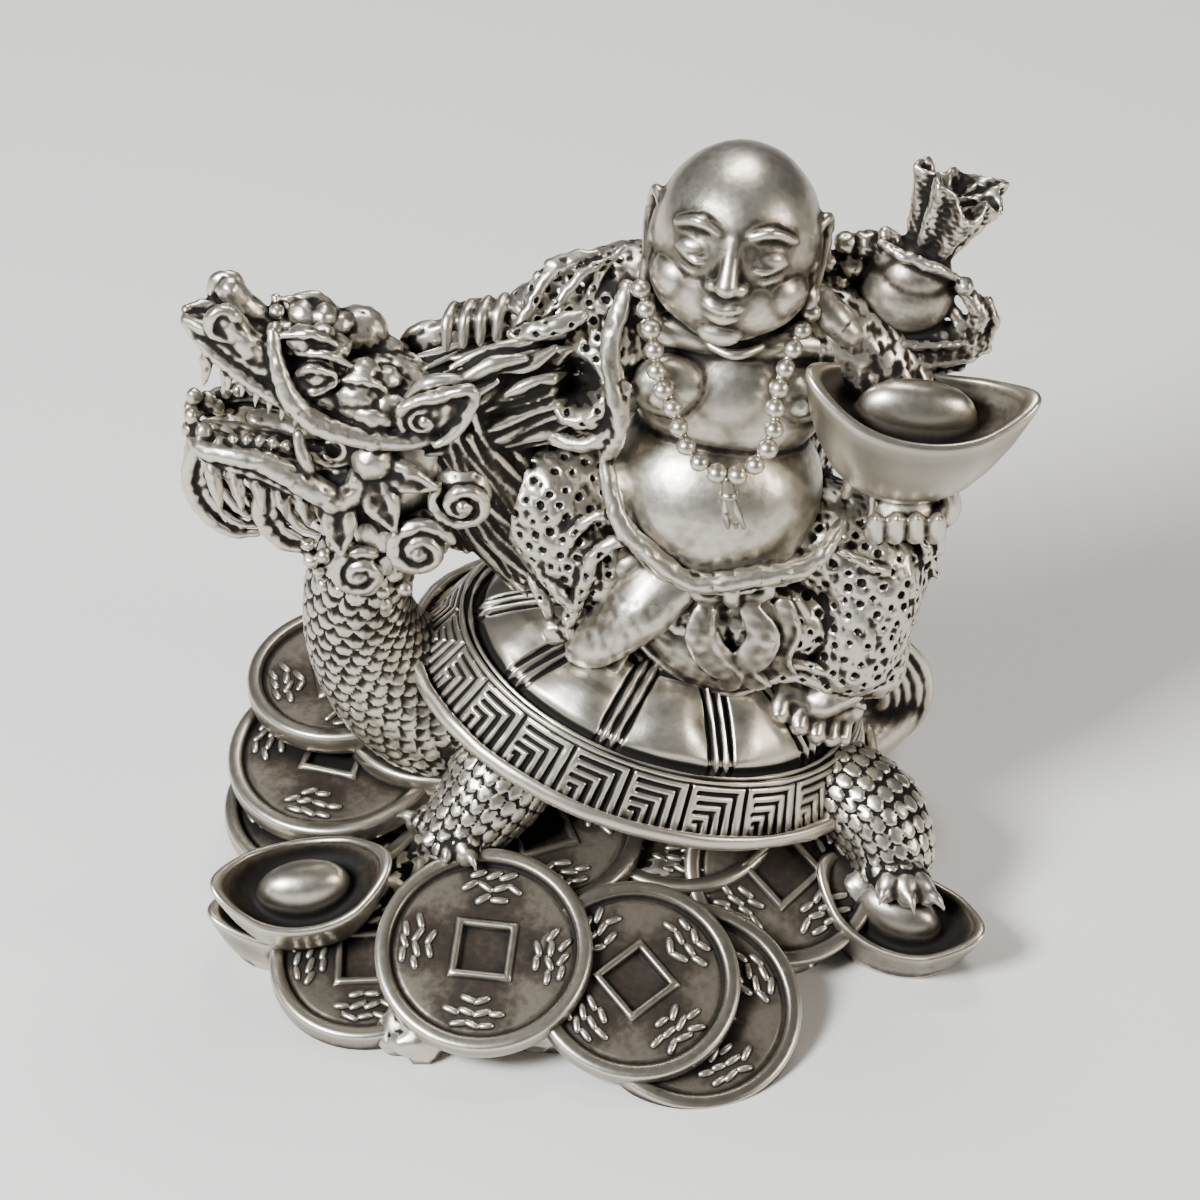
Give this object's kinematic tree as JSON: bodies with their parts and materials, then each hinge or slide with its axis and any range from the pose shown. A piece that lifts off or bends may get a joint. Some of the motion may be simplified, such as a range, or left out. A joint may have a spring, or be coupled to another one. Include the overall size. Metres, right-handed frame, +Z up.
{
  "type": "dragon turtle figure",
  "caption": "Cast table figure of a monk with a tied bag and an ingot, riding a dragon turtle on a mound of cash coins.",
  "frame": {"origin": "on the flat underside, under the middle of the figure's bounding box", "axes": "+Z up, the dragon's head towards -X, the rider facing -Y"},
  "size_m": [0.1292, 0.098, 0.1295],
  "materials": {
    "silvered_cast": "cast polyresin in antique silver metallic paint, rubbed bright on the high places, with a dark brown wash in the hollows"
  },
  "bodies": {
    "root": {"dragon_turtle_figure": "silvered_cast"}
  },
  "joints": []
}
